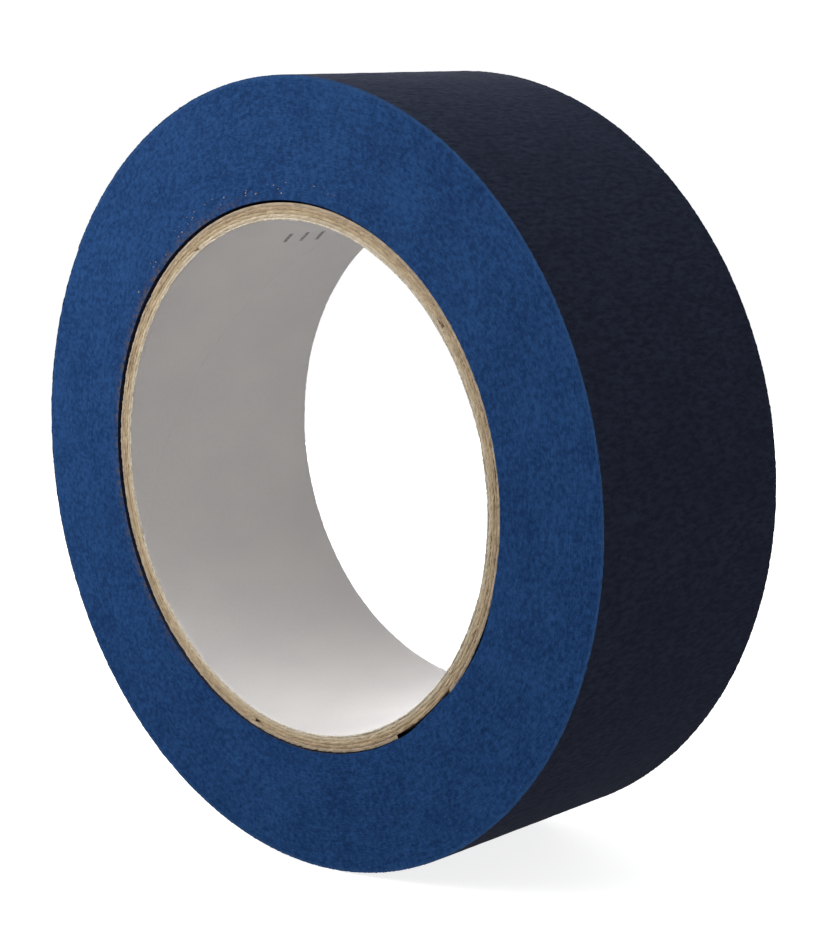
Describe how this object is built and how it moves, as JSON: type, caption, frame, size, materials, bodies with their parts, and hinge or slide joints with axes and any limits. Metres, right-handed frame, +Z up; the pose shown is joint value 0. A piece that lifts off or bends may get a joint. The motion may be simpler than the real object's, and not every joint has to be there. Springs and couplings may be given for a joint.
{
  "type": "masking tape roll",
  "caption": "Roll of blue crepe masking tape wound on a white-lined spiral cardboard core, with a free end that peels open.",
  "frame": {"origin": "middle of the core's bore, on its axis", "axes": "+Y along the bore from the front side face to the back one, +Z up with the roll standing on its rim, +X to the right of somebody in front of the roll"},
  "size_m": [0.1171, 0.038, 0.1173],
  "materials": {
    "liner_paper": "satin",
    "kraft_board": "matte",
    "crepe_tape": "matte"
  },
  "bodies": {
    "roll": {"bore_liner": "liner_paper", "core_inner_ply": "kraft_board", "core_second_ply": "kraft_board", "core_third_ply": "kraft_board", "core_outer_ply": "kraft_board", "tape_windings": "crepe_tape", "outer_turn": "crepe_tape"},
    "free_tape": {"free_end": "crepe_tape"}
  },
  "joints": [
    {"name": "tape_end_peel", "type": "hinge", "parent": "roll", "child": "free_tape", "pos_m": [-0.02754, 0, 0.05179], "axis": [0, 1, 0], "range_deg": [0, 150]}
  ]
}
